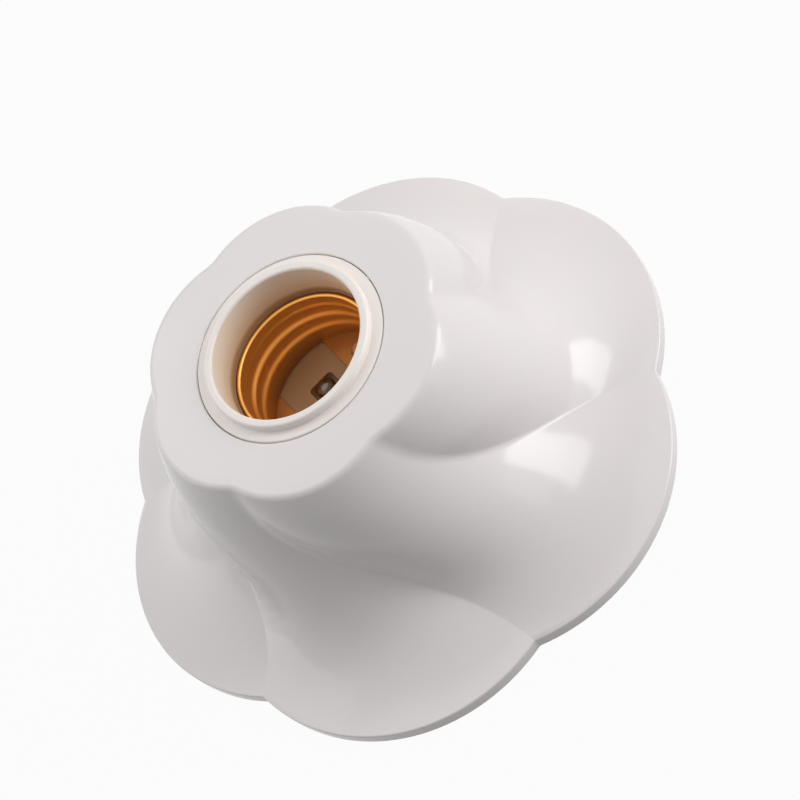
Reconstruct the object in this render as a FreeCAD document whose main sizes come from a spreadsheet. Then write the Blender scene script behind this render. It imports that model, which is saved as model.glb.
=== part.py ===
"""Surface-mounted lamp holder for a screw-cap lamp, with a swirled six-petal cover.

Millimetres. The back face lies in z = 0, the socket's axis is Z and the lamp leaves along +Z.
The mounting plate stays on the wall; everything else turns on it through a short twist lock.
"""
import FreeCAD, Part
import math
import os
import re
import Sketcher

SIZES = {
    # Cover skin: four control sizes each for its height, its valleys and how far the petals
    # stand out past the valleys.
    "rim_thickness": 2.5,
    "flare_height": 6.2,
    "neck_height": 22.6,
    "collar_face": 41.5,
    "rim_valley": 53.0,
    "flare_valley": 25.5,
    "neck_valley": 36.2,
    "collar_valley": 26.9,
    "rim_petal": 4.75,
    "flare_petal": 4.5,
    "neck_petal": 3.3,
    "collar_petal": 1.8,
    "rim_blend": 0.5,
    "flare_blend": 1.0,
    "neck_blend": 3.0,
    "collar_blend": 7.0,
    "petal_angle": 23.2,
    "flare_swirl": 6.4,
    "neck_swirl": 45.2,
    "collar_swirl": 54.8,
    "skin_wall": 2.0,
    "rim_land": 2.6,
    "collar_thickness": 3.2,
    "collar_round": 1.5,
    # Screw bosses under the collar and the twist-lock hooks inside the rim.
    "boss_pitch": 22.6,
    "boss_radius": 3.2,
    "boss_hole_depth": 8.0,
    "hook_angle": 8.3,
    "hook_span": 10.0,
    "hook_post": 2.2,
    "hook_root": 22.6,
    "hook_gap": 0.3,
    "toe_reach": 4.0,
    "toe_foot": 0.8,
    "toe_thickness": 1.8,
    "toe_play": 0.2,
    "unlock_turn": 25.0,
    "notch_play": 2.0,
    "stop_play": 1.0,
    "stop_span": 4.0,
    # Mounting plate.
    "plate_thickness": 2.0,
    "tray_radius": 30.3,
    "tray_wall": 2.0,
    "lock_rim_radius": 35.0,
    "lock_rim_thickness": 1.6,
    "cable_radius": 9.0,
    "cable_collar_wall": 1.6,
    "cable_collar_height": 4.0,
    "slot_spacing": 42.0,
    "slot_length": 9.0,
    "slot_radius": 2.25,
    # Insulating core.
    "bore_radius": 14.35,
    "sleeve_radius": 17.0,
    "flange_radius": 18.0,
    "flange_depth": 5.5,
    "flange_seam": 0.15,
    "flange_round": 0.3,
    "lip_radius": 16.0,
    "lip_height": 1.6,
    "lip_round": 0.5,
    "socket_floor": 20.5,
    "floor_thickness": 6.0,
    "ear_radius": 3.4,
    "ear_top": 29.5,
    "ear_thickness": 2.5,
    "ear_sink": 1.45,
    "ear_play": 0.2,
    "bar_end": 1.6,
    "bar_width": 10.0,
    "bar_thickness": 4.0,
    "barrier_offset": 4.0,
    "barrier_width": 1.2,
    "barrier_length": 28.0,
    "barrier_height": 3.5,
    # Brass screw shell: rolled thread in thin sheet, curled rim, slotted bottom flange.
    "thread_pitch": 3.62,
    "thread_major": 13.4,
    "thread_depth": 1.1,
    "thread_start": 3.6,
    "shell_sheet": 0.3,
    "shell_rim": 35.05,
    "shell_curl": 0.35,
    "shell_play": 0.2,
    "shell_foot": 0.8,
    "flange_sheet": 0.4,
    "flange_slot_near": 4.5,
    "flange_slot_far": 8.0,
    # Centre contact: sprung leaf with a domed button, riveted through the floor.
    "contact_offset": -0.8,
    "leaf_width": 5.3,
    "leaf_sheet": 0.4,
    "leaf_heel": 11.2,
    "leaf_bend": 5.6,
    "leaf_knee": 1.2,
    "leaf_tip": 3.2,
    "leaf_height": 4.1,
    "button_place": 0.9,
    "button_radius": 1.9,
    "button_edge": 0.3,
    "button_dome": 1.0,
    "button_shoulder": 0.75,
    "button_stem": 0.9,
    "button_tail_radius": 1.3,
    "button_tail": 0.6,
    # Rivets, terminals and screws.
    "rivet_radius": 1.1,
    "rivet_head_radius": 1.9,
    "rivet_head": 0.8,
    "contact_rivet_place": 8.6,
    "shell_rivet_reach": 8.5,
    "shell_rivet_place": 4.5,
    "hole_play": 0.05,
    "screw_play": 0.1,
    "terminal_sheet": 0.8,
    "terminal_width": 8.0,
    "terminal_tail": 22.4,
    "terminal_pad": 7.2,
    "neutral_head": 15.0,
    "terminal_screw_inset": 4.0,
    "terminal_screw_radius": 1.7,
    "terminal_screw_head": 3.1,
    "terminal_screw_grip": 3.0,
    "screw_head_height": 2.2,
    "screw_slot": 0.8,
    "screw_slot_depth": 1.1,
    "washer_width": 7.6,
    "washer_length": 8.4,
    "washer_sheet": 0.8,
    "washer_lip": 1.4,
    "core_screw_radius": 1.5,
    "core_screw_head": 2.8,
    "core_screw_grip": 7.0,
}
PETALS = 6
HOOKS = 3
SKIN_STATIONS = 8
THREAD_BEADS = 3
TERMINAL_SCREW = "(terminal_tail - terminal_screw_inset)"
RIVET_PLACES = {
    "contact_rivet": ("contact_offset", "-contact_rivet_place"),
    "shell_rivet_1": ("shell_rivet_reach", "shell_rivet_place"),
    "shell_rivet_2": ("shell_rivet_reach", "-shell_rivet_place"),
}

doc = FreeCAD.newDocument("lamp_holder")
sheet = doc.addObject("Spreadsheet::Sheet", "Sizes")


def fill_sheet():
    """Write each driving size as a named cell."""
    for row, (alias, number) in enumerate(SIZES.items(), 1):
        sheet.set(f"A{row}", alias)
        sheet.set(f"B{row}", str(number))
        sheet.setAlias(f"B{row}", alias)
    doc.recompute()


def with_sheet(expression):
    """Turn bare size names into references to the sheet."""
    return re.sub(r"[a-z]\w*", lambda m: f"Sizes.{m[0]}" if m[0] in SIZES else m[0], expression)


def value(expression):
    """Number that an expression of size names has now."""
    return float(sheet.evalExpression(with_sheet(expression)))


def bind(feature, path, expression):
    feature.setExpression(path, with_sheet(expression))


def new_body(label):
    body = doc.addObject("PartDesign::Body", label)
    body.Label = label
    return body


def sketch_on(body, name, plane="XY_Plane", height="0", turn="0"):
    """Sketch on one of the body's own origin planes, raised and turned about its normal."""
    sketch = body.newObject("Sketcher::SketchObject", name)
    origin = next(item for item in body.Origin.OriginFeatures if item.Role == plane)
    sketch.AttachmentSupport = [(origin, "")]
    sketch.MapMode = "FlatFace"
    bind(sketch, ".AttachmentOffset.Base.z", height)
    bind(sketch, ".AttachmentOffset.Rotation.Angle", turn)
    return sketch


def constrain(sketch, expression, kind, *where):
    """Add one dimension whose size follows an expression."""
    index = sketch.addConstraint(Sketcher.Constraint(kind, *where, value(expression)))
    bind(sketch, f"Constraints[{index}]", expression)


def place(sketch, geometry, point, x, y):
    """Hold a point at x, y from the sketch's origin."""
    for expression, kind, axis in ((x, "DistanceX", -2), (y, "DistanceY", -1)):
        if abs(value(expression)) < 1e-9:
            sketch.addConstraint(Sketcher.Constraint("PointOnObject", geometry, point, axis))
        else:
            constrain(sketch, expression, kind, -1, 1, geometry, point)


def polygon(sketch, corners):
    """Closed outline through corners given as pairs of expressions."""
    points = [FreeCAD.Vector(value(x), value(y), 0) for x, y in corners]
    first = sketch.GeometryCount
    for start, end in zip(points, points[1:] + points[:1]):
        sketch.addGeometry(Part.LineSegment(start, end))
    for step, (x, y) in enumerate(corners):
        following = first + (step + 1) % len(corners)
        sketch.addConstraint(Sketcher.Constraint("Coincident", first + step, 2, following, 1))
        place(sketch, first + step, 1, x, y)


def rectangle(sketch, left, right, bottom, top):
    polygon(sketch, [(left, bottom), (right, bottom), (right, top), (left, top)])


def circle(sketch, x, y, radius):
    centre = FreeCAD.Vector(value(x), value(y), 0)
    index = sketch.addGeometry(Part.Circle(centre, FreeCAD.Vector(0, 0, 1), value(radius)))
    place(sketch, index, 3, x, y)
    constrain(sketch, radius, "Radius", index)


def obround(sketch, start, end, radius):
    """Slot with round ends whose two end centres are pairs of expressions."""
    ends = [FreeCAD.Vector(value(x), value(y), 0) for x, y in (start, end)]
    heading = math.atan2(ends[1].y - ends[0].y, ends[1].x - ends[0].x)
    side = FreeCAD.Vector(-math.sin(heading), math.cos(heading), 0) * value(radius)
    normal = FreeCAD.Vector(0, 0, 1)
    first = sketch.GeometryCount
    sketch.addGeometry(Part.LineSegment(ends[0] - side, ends[1] - side))
    cap = Part.Circle(ends[1], normal, value(radius))
    sketch.addGeometry(Part.ArcOfCircle(cap, heading - math.pi / 2, heading + math.pi / 2))
    sketch.addGeometry(Part.LineSegment(ends[1] + side, ends[0] + side))
    cap = Part.Circle(ends[0], normal, value(radius))
    sketch.addGeometry(Part.ArcOfCircle(cap, heading + math.pi / 2, heading + math.pi * 1.5))
    for joint in ((0, 2, 1, 1), (1, 2, 2, 1), (2, 2, 3, 1), (3, 2, 0, 1)):
        before, tail, after, head = joint
        sketch.addConstraint(Sketcher.Constraint("Tangent", first + before, tail, first + after, head))
    place(sketch, first + 1, 3, *end)
    place(sketch, first + 3, 3, *start)
    constrain(sketch, radius, "Radius", first + 1)


def banded_circle(sketch, left, right, radius):
    """Outline of the part of a circle about the origin that lies between two chords."""
    reach, near, far = value(radius), value(left), value(right)
    up = FreeCAD.Vector(0, 0, 1)
    disc = Part.Circle(FreeCAD.Vector(0, 0, 0), up, reach)
    start, end = math.acos(far / reach), math.acos(near / reach)
    tall = {x: math.sqrt(reach**2 - x**2) for x in (near, far)}
    first = sketch.GeometryCount
    sketch.addGeometry(Part.ArcOfCircle(disc, start, end))
    low, high = FreeCAD.Vector(near, -tall[near], 0), FreeCAD.Vector(near, tall[near], 0)
    sketch.addGeometry(Part.LineSegment(high, low))
    sketch.addGeometry(Part.ArcOfCircle(disc, -end, -start))
    low, high = FreeCAD.Vector(far, -tall[far], 0), FreeCAD.Vector(far, tall[far], 0)
    sketch.addGeometry(Part.LineSegment(low, high))
    for before, tail, after, head in ((0, 2, 1, 1), (1, 2, 2, 1), (2, 2, 3, 1), (3, 2, 0, 1)):
        pair = (first + before, tail, first + after, head)
        sketch.addConstraint(Sketcher.Constraint("Coincident", *pair))
    for arc in (first, first + 2):
        sketch.addConstraint(Sketcher.Constraint("Coincident", arc, 3, -1, 1))
        constrain(sketch, radius, "Radius", arc)
    for line, x in ((first + 1, left), (first + 3, right)):
        sketch.addConstraint(Sketcher.Constraint("Vertical", line))
        constrain(sketch, x, "DistanceX", -1, 1, line, 1)


def add_feature(body, kind, name, profile, length, reverse=False):
    """Pad or pocket of a given length; a pocket that removes nothing is an error."""
    doc.recompute()
    before = body.Shape.Volume if body.Tip else 0
    feature = body.newObject(f"PartDesign::{kind}", name)
    feature.Profile = profile
    bind(feature, "Length", length)
    feature.Reversed = reverse
    doc.recompute()
    change = body.Shape.Volume - before
    if change * (1 if kind == "Pad" else -1) < 1e-3:
        raise ValueError(f"{body.Label}: {name} changed the volume by {change:.4f}")
    return feature


def pad(body, name, profile, length, reverse=False):
    return add_feature(body, "Pad", name, profile, length, reverse)


def pocket(body, name, profile, length, reverse=False):
    return add_feature(body, "Pocket", name, profile, length, reverse)


def revolve(body, name, profile, angle="360", midplane=False):
    """Turn a profile drawn in the XZ plane about Z."""
    feature = body.newObject("PartDesign::Revolution", name)
    feature.Profile = profile
    feature.ReferenceAxis = (profile, ["V_Axis"])
    bind(feature, "Angle", angle)
    feature.Midplane = midplane
    return feature


def groove(body, name, profile):
    """Turn a profile drawn in the XZ plane about Z and take it away."""
    doc.recompute()
    before = body.Shape.Volume
    feature = body.newObject("PartDesign::Groove", name)
    feature.Profile = profile
    feature.ReferenceAxis = (profile, ["V_Axis"])
    feature.Angle = 360
    doc.recompute()
    if before - body.Shape.Volume < 1e-3:
        raise ValueError(f"{body.Label}: {name} removed nothing")


def round_edges(body, name, radius, chosen):
    """Fillet the edges of the body that the test picks."""
    doc.recompute()
    tip = body.Tip
    names = [f"Edge{n}" for n, edge in enumerate(tip.Shape.Edges, 1) if chosen(edge)]
    if not names:
        raise ValueError(f"{body.Label}: {name} finds no edge")
    feature = body.newObject("PartDesign::Fillet", name)
    feature.Base = (tip, names)
    bind(feature, "Radius", radius)
    doc.recompute()


def is_ring(edge, radius, height):
    """Whether an edge is a circle about Z of the given radius and height."""
    curve = edge.Curve
    return (
        isinstance(curve, Part.Circle)
        and abs(curve.Radius - value(radius)) < 1e-3
        and abs(curve.Center.z - value(height)) < 1e-3
        and math.hypot(curve.Center.x, curve.Center.y) < 1e-3
    )


def lies_at(edge, height):
    """Whether an edge lies wholly in the plane at a height."""
    box = edge.BoundBox
    return abs(box.ZMin - value(height)) < 1e-4 and abs(box.ZMax - value(height)) < 1e-4


# ---------------------------------------------------------------- cover skin

HEIGHTS = ("rim_thickness", "flare_height", "neck_height", "collar_face")
VALLEYS = ("rim_valley", "flare_valley", "neck_valley", "collar_valley")
RIDGES = (
    "(rim_valley + rim_petal)",
    "(flare_valley + flare_petal)",
    "(neck_valley + neck_petal)",
    "(collar_valley + collar_petal)",
)
BLENDS = ("rim_blend", "flare_blend", "neck_blend", "collar_blend")
SWIRLS = ("0", "flare_swirl", "neck_swirl", "collar_swirl")


def along(controls, station):
    """Expression for the cubic Bezier curve through four control sizes, at 0 to 1."""
    rest = 1 - station
    weights = (rest**3, 3 * station * rest**2, 3 * station**2 * rest, station**3)
    return " + ".join(f"{weight:.9f} * {name}" for weight, name in zip(weights, controls))


def slope(controls, station):
    """Rate at which a curve's value changes along its station."""
    rest = 1 - station
    a, b, c, d = (value(name) for name in controls)
    return 3 * (rest**2 * (b - a) + 2 * rest * station * (c - b) + station**2 * (d - c))


def inward(station):
    """Radial and vertical parts of the unit step from the outer skin to the inner."""
    rise, run = slope(HEIGHTS, station), slope(VALLEYS, station)
    length = math.hypot(rise, run)
    return -rise / length, run / length


def inner_valley(station):
    return value(along(VALLEYS, station)) + inward(station)[0] * value("skin_wall")


def inner_height(station):
    return value(along(HEIGHTS, station)) + inward(station)[1] * value("skin_wall")


def station_where(measure, target):
    """Station, found by halving, where a steadily changing measure meets its target."""
    low, high = 0.0, 1.0
    rising = measure(high) > measure(low)
    for _ in range(50):
        middle = (low + high) / 2
        if (measure(middle) < target) == rising:
            low = middle
        else:
            high = middle
    return (low + high) / 2


def flower_section(body, name, station, inset):
    """Closed outline of six lobes blended by six hollows, at one station of the skin.

    inset is "0" on the outer skin and "skin_wall" on the inner one.
    """
    step_in, step_down = inward(station) if inset != "0" else (0, 0)
    height = f"{along(HEIGHTS, station)} + {step_down:.9f} * ({inset})"
    turn = f"petal_angle - ({along(SWIRLS, station)})"
    ridge = f"{along(RIDGES, station)} + {step_in:.9f} * ({inset})"
    valley = f"{along(VALLEYS, station)} + {step_in:.9f} * ({inset})"
    blend = f"{along(BLENDS, station)} + ({inset})"
    sketch = sketch_on(body, name, height=height, turn=turn)
    lobes_and_hollows(sketch, ridge, valley, blend)
    return sketch


def lobes_and_hollows(sketch, ridge, valley, blend):
    """Tangent arcs between a circle that the lobes touch and one that the hollows touch."""
    half = math.pi / PETALS
    outer, hollow = value(f"{ridge} + {blend}"), value(f"{valley} + {blend}")
    lobe_centre = (outer**2 - hollow**2) / (2 * (outer - hollow * math.cos(half)))
    lobe_radius, blend_radius = value(ridge) - lobe_centre, value(blend)
    lean = math.atan2(lobe_centre * math.sin(half), lobe_centre * math.cos(half) - hollow)
    up = FreeCAD.Vector(0, 0, 1)
    arcs = []
    for petal in range(PETALS):
        turn = 2 * half * petal
        centre = FreeCAD.Vector(hollow * math.cos(turn), hollow * math.sin(turn), 0)
        arc = Part.ArcOfCircle(Part.Circle(centre, up, blend_radius), turn + lean, turn - lean)
        arcs.append(arc)
        turn += half
        centre = FreeCAD.Vector(lobe_centre * math.cos(turn), lobe_centre * math.sin(turn), 0)
        spread = lean - math.pi - half
        arc = Part.ArcOfCircle(Part.Circle(centre, up, lobe_radius), turn + spread, turn - spread)
        arcs.append(arc)
    indices = sketch.addGeometry(arcs, False)
    origin = FreeCAD.Vector(0, 0, 0)
    guides = [Part.Circle(origin, up, value(ridge)), Part.Circle(origin, up, value(valley))]
    ridge_guide, valley_guide = sketch.addGeometry(guides, True)
    for guide, radius in ((ridge_guide, ridge), (valley_guide, valley)):
        sketch.addConstraint(Sketcher.Constraint("Coincident", guide, 3, -1, 1))
        constrain(sketch, radius, "Radius", guide)
    hollows, lobes = indices[0::2], indices[1::2]
    constrain(sketch, blend, "Radius", hollows[0])
    for petal in range(PETALS):
        after = hollows[(petal + 1) % PETALS]
        sketch.addConstraint(
            [
                Sketcher.Constraint("Tangent", hollows[petal], 1, lobes[petal], 1),
                Sketcher.Constraint("Tangent", lobes[petal], 2, after, 2),
                Sketcher.Constraint("Tangent", lobes[petal], ridge_guide),
                Sketcher.Constraint("Tangent", hollows[petal], valley_guide),
            ]
        )
    for petal in range(1, PETALS):
        sketch.addConstraint(Sketcher.Constraint("Equal", hollows[0], hollows[petal]))
        sketch.addConstraint(Sketcher.Constraint("Equal", lobes[0], lobes[petal]))
    sketch.addConstraint(Sketcher.Constraint("PointOnObject", hollows[0], 3, -1))


def skin_solid(label, stations, inset):
    """Loft through the flower sections at the given stations."""
    body = new_body(label)
    sections = [
        flower_section(body, f"{label}_section_{number}", station, inset)
        for number, station in enumerate(stations)
    ]
    doc.recompute()
    loft = body.newObject("PartDesign::AdditiveLoft", f"{label}_loft")
    loft.Profile = sections[0]
    loft.Sections = sections[1:]
    doc.recompute()
    return body, sections[0]


def spread(start, end, count):
    return [start + (end - start) * step / (count - 1) for step in range(count)]


def cover_outside():
    """Swirled outer form with a rounded collar and a round hole for the socket core."""
    body, rim = skin_solid("petal_form", spread(0, 1, SKIN_STATIONS), "0")
    pad(body, "rim_edge", rim, "rim_thickness", reverse=True)
    round_edges(body, "collar_edge", "collar_round", lambda edge: lies_at(edge, "collar_face"))
    hole = sketch_on(body, "collar_hole_outline", height="collar_face")
    circle(hole, "0", "0", "flange_radius + flange_seam")
    pocket(body, "collar_hole", hole, "2 * collar_thickness")
    return body


def cover_hollow():
    """Room under the skin, one wall inside it, open at the back."""
    start = station_where(inner_valley, value("rim_valley - rim_land"))
    end = station_where(inner_height, value("collar_face - collar_thickness"))
    body, mouth = skin_solid("petal_hollow", spread(start, end, SKIN_STATIONS), "skin_wall")
    pad(body, "back_opening", mouth, "2 * rim_thickness", reverse=True)
    return body


def cover_bosses():
    """Two posts under the collar with holes for the screws that hold the core."""
    body = new_body("collar_bosses")
    posts = sketch_on(body, "boss_outline", height="ear_top")
    holes = sketch_on(body, "boss_hole_outline", height="ear_top")
    for side in ("boss_pitch", "-boss_pitch"):
        circle(posts, "0", side, "boss_radius")
        circle(holes, "0", side, "core_screw_radius + hole_play")
    pad(body, "boss_posts", posts, "collar_face - collar_thickness - ear_top + skin_wall")
    pocket(body, "boss_holes", holes, "boss_hole_depth", reverse=True)
    return body


def cover_hooks():
    """Posts hanging from the skin whose toes reach in under the plate's rim."""
    body = new_body("lock_hooks")
    section = sketch_on(body, "hook_section", plane="XZ_Plane")
    inner = "lock_rim_radius + hook_gap"
    outer = f"{inner} + hook_post"
    toe = "lock_rim_radius - toe_reach"
    step = "toe_foot + toe_thickness"
    corners = [(toe, "toe_foot"), (outer, "toe_foot"), (outer, "hook_root")]
    corners += [(inner, "hook_root"), (inner, step), (toe, step)]
    polygon(section, corners)
    hook = revolve(body, "hook", section, "hook_span", midplane=True)
    doc.recompute()
    ring = body.newObject("PartDesign::PolarPattern", "hook_ring")
    ring.Originals = [hook]
    ring.Axis = (section, ["V_Axis"])
    ring.Occurrences = HOOKS
    ring.Angle = 360
    body.Tip = ring
    bind(body, ".Placement.Rotation.Angle", "hook_angle")
    return body


def flower_cover():
    """Moulded cover: the outer form less its hollow, with bosses and hooks left standing."""
    hollow = doc.addObject("Part::MultiFuse", "standing_parts")
    hollow.Shapes = [cover_bosses(), cover_hooks()]
    room = doc.addObject("Part::Cut", "cover_room")
    room.Base = cover_hollow()
    room.Tool = hollow
    cover = doc.addObject("Part::Cut", "flower_cover")
    cover.Base = cover_outside()
    cover.Tool = room
    cover.Label = "flower_cover"
    return cover


# ---------------------------------------------------------------- mounting plate


def mounting_plate():
    """Tray with a raised rim; the hooks pass through the rim's notches and turn under it."""
    body = new_body("mounting_plate")
    tray = sketch_on(body, "tray_section", plane="XZ_Plane")
    under = "toe_foot + toe_thickness + toe_play"
    top = f"{under} + lock_rim_thickness"
    collar = "cable_radius + cable_collar_wall"
    corners = [("cable_radius", "0"), ("tray_radius", "0"), ("tray_radius", under)]
    corners += [("lock_rim_radius", under), ("lock_rim_radius", top)]
    corners += [("tray_radius - tray_wall", top), ("tray_radius - tray_wall", "plate_thickness")]
    corners += [(collar, "plate_thickness"), (collar, "cable_collar_height")]
    corners += [("cable_radius", "cable_collar_height")]
    polygon(tray, corners)
    revolve(body, "tray", tray)
    slots = sketch_on(body, "slot_outline")
    reach = "slot_length / 2 - slot_radius"
    for side in ("-slot_spacing / 2", "slot_spacing / 2"):
        obround(slots, (f"{side} - ({reach})", "0"), (f"{side} + {reach}", "0"), "slot_radius")
    pocket(body, "screw_slots", slots, "plate_thickness", reverse=True)
    cut_notches(body, under)
    add_stops(body, under)
    return body


def turned_copies(body, name, feature, sketch):
    """Repeat one feature once for each hook."""
    ring = body.newObject("PartDesign::PolarPattern", name)
    ring.Originals = [feature]
    ring.Axis = (sketch, ["N_Axis"])
    ring.Occurrences = HOOKS
    ring.Angle = 360
    body.Tip = ring
    doc.recompute()


def sector(sketch, inner, outer, half_span):
    """Ring sector centred on the sketch's X axis."""
    near = [f"({inner}) * cos({half_span})", f"({inner}) * sin({half_span})"]
    far = [f"({outer}) * cos({half_span})", f"({outer}) * sin({half_span})"]
    polygon(
        sketch,
        [(near[0], f"-{near[1]}"), (far[0], f"-{far[1]}"), (far[0], far[1]), (near[0], near[1])],
    )


def cut_notches(body, under):
    """Openings in the rim that let the toes through when the cover is turned to unlock."""
    half = "(hook_span / 2 + notch_play) * 1deg"
    turn = "hook_angle + unlock_turn"
    outline = sketch_on(body, "notch_outline", height=under, turn=turn)
    sector(outline, "tray_radius + toe_play", "lock_rim_radius + hook_post", half)
    notch = pocket(body, "notch", outline, "lock_rim_thickness", reverse=True)
    turned_copies(body, "notches", notch, outline)


def add_stops(body, under):
    """Ribs under the rim that the toes meet when the cover is fully home."""
    turn = "hook_angle - hook_span / 2 - stop_play - stop_span / 2"
    outline = sketch_on(body, "stop_outline", turn=turn)
    sector(outline, "tray_radius - tray_wall / 2", "lock_rim_radius - toe_play", "stop_span / 2 * 1deg")
    stop = pad(body, "stop", outline, under)
    turned_copies(body, "stops", stop, outline)


# ---------------------------------------------------------------- insulating core


def socket_core():
    """Moulded core: sleeve, front flange, lip, floor, fixing ears and terminal bar."""
    body = new_body("socket_core")
    base = "socket_floor - floor_thickness"
    step = "collar_face - flange_depth"
    lip = "collar_face + lip_height"
    ledge = "shell_rim + shell_play"
    pocket_wall = "thread_major + shell_sheet / 2 + shell_curl + shell_play"
    section = sketch_on(body, "core_section", plane="XZ_Plane")
    corners = [("0", base), ("sleeve_radius", base), ("sleeve_radius", step)]
    corners += [("flange_radius", step), ("flange_radius", "collar_face")]
    corners += [("lip_radius", "collar_face"), ("lip_radius", lip), ("bore_radius", lip)]
    corners += [("bore_radius", ledge), (pocket_wall, ledge)]
    corners += [(pocket_wall, "socket_floor"), ("0", "socket_floor")]
    polygon(section, corners)
    revolve(body, "sleeve", section)
    round_edges(body, "lip_edges", "lip_round", lambda edge: lip_edge(edge, lip))
    round_edges(
        body, "flange_edge", "flange_round", lambda edge: is_ring(edge, "flange_radius", "collar_face")
    )
    ears = sketch_on(body, "ear_outline", height="ear_top - ear_thickness")
    holes = sketch_on(body, "ear_hole_outline", height="ear_top")
    for side in ("", "-"):
        start = f"{side}(sleeve_radius + ear_radius - ear_sink)"
        obround(ears, ("0", start), ("0", f"{side}boss_pitch"), "ear_radius")
        circle(holes, "0", f"{side}boss_pitch", "core_screw_radius + ear_play")
    pad(body, "ears", ears, "ear_thickness")
    pocket(body, "ear_holes", holes, "ear_thickness")
    add_terminal_bar(body, base)
    drill_core(body, base)
    return body


def lip_edge(edge, lip):
    return is_ring(edge, "lip_radius", lip) or is_ring(edge, "bore_radius", lip)


def add_terminal_bar(body, base):
    """Bar across the back that carries the terminals, and the barrier between them."""
    bar = sketch_on(body, "bar_outline", height=base)
    reach = "terminal_tail + bar_end"
    rectangle(bar, f"-({reach})", reach, "-bar_width / 2", "bar_width / 2")
    pad(body, "terminal_bar", bar, "bar_thickness")
    barrier = sketch_on(body, "barrier_outline", height=base)
    left, right = "barrier_offset - barrier_width / 2", "barrier_offset + barrier_width / 2"
    rectangle(barrier, left, right, "-barrier_length / 2", "barrier_length / 2")
    pad(body, "barrier", barrier, "barrier_height", reverse=True)


def drill_core(body, base):
    """Rivet holes through the floor and blind holes for the terminal screws."""
    rivets = sketch_on(body, "rivet_hole_outline", height="socket_floor")
    for x, y in RIVET_PLACES.values():
        circle(rivets, x, y, "rivet_radius + hole_play")
    pocket(body, "rivet_holes", rivets, "floor_thickness")
    screws = sketch_on(body, "screw_hole_outline", height=base)
    for side in ("-", ""):
        circle(screws, side + TERMINAL_SCREW, "0", "terminal_screw_radius + screw_play")
    pocket(body, "screw_holes", screws, "terminal_screw_grip + hole_play", reverse=True)


# ---------------------------------------------------------------- brass screw shell


def screw_shell():
    """Thin brass shell: rolled thread beads, curled rim and a bottom flange with an opening."""
    body = new_body("screw_shell")
    foot, top = "socket_floor", "shell_rim - shell_curl"
    outer = "thread_major + shell_sheet"
    wall = sketch_on(body, "shell_section", plane="XZ_Plane")
    rectangle(wall, "thread_major", outer, foot, top)
    revolve(body, "shell_wall", wall)
    doc.recompute()
    roll_beads(body, outer)
    curl = sketch_on(body, "curl_section", plane="XZ_Plane")
    circle(curl, "thread_major + shell_sheet / 2", top, "shell_curl")
    revolve(body, "rim_curl", curl)
    doc.recompute()
    flange = sketch_on(body, "flange_outline", height=foot)
    circle(flange, "0", "0", "thread_major + shell_sheet / 2")
    pad(body, "flange", flange, "flange_sheet")
    opening = sketch_on(body, "flange_opening_outline", height=f"{foot} + flange_sheet")
    banded_circle(opening, "-flange_slot_far", "flange_slot_near", "thread_major - flange_sheet")
    pocket(body, "flange_opening", opening, "flange_sheet")
    holes = sketch_on(body, "flange_hole_outline", height=f"{foot} + flange_sheet")
    for name in ("shell_rivet_1", "shell_rivet_2"):
        circle(holes, *RIVET_PLACES[name], "rivet_radius + hole_play")
    pocket(body, "flange_holes", holes, "flange_sheet")
    return body


def roll_beads(body, outer):
    """Round beads pressed inwards, followed by a hollow on the outside of the sheet."""
    beads = sketch_on(body, "bead_section", plane="XZ_Plane")
    hollows = sketch_on(body, "bead_hollow_section", plane="XZ_Plane")
    for bead in range(THREAD_BEADS):
        height = f"shell_rim - thread_start - {bead} * thread_pitch"
        circle(beads, "thread_major", height, "thread_depth")
        circle(hollows, "thread_major", height, "thread_depth - shell_sheet")
    revolve(body, "beads", beads)
    groove(body, "bead_hollows", hollows)
    trim = sketch_on(body, "outside_trim", plane="XZ_Plane")
    rectangle(trim, outer, f"{outer} + thread_depth", "socket_floor", "shell_rim - shell_curl")
    groove(body, "outside", trim)


# ---------------------------------------------------------------- centre contact


def contact_leaf():
    """Spring strip: flat heel on the floor, rising bend and flat tip with the button's hole."""
    body = new_body("contact_leaf")
    floor, crest = "socket_floor", "socket_floor + leaf_height"
    side = sketch_on(body, "leaf_profile", plane="YZ_Plane", height="contact_offset")
    under = [("-leaf_heel", floor), ("-leaf_bend", floor), ("-leaf_knee", crest), ("leaf_tip", crest)]
    over = [
        ("leaf_tip", f"{crest} + leaf_sheet"),
        ("-leaf_knee - leaf_sheet / 2", f"{crest} + leaf_sheet"),
        ("-leaf_bend - leaf_sheet / 2", f"{floor} + leaf_sheet"),
        ("-leaf_heel", f"{floor} + leaf_sheet"),
    ]
    polygon(side, under + over)
    strip = pad(body, "leaf", side, "leaf_width")
    strip.Midplane = True
    holes = sketch_on(body, "leaf_hole_outline", height=f"{crest} + leaf_sheet")
    circle(holes, "contact_offset", "button_place", "button_stem + hole_play")
    pocket(body, "button_hole", holes, "leaf_sheet")
    heel = sketch_on(body, "heel_hole_outline", height=f"{floor} + leaf_sheet")
    circle(heel, *RIVET_PLACES["contact_rivet"], "rivet_radius + hole_play")
    pocket(body, "heel_hole", heel, "leaf_sheet")
    return body


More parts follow.
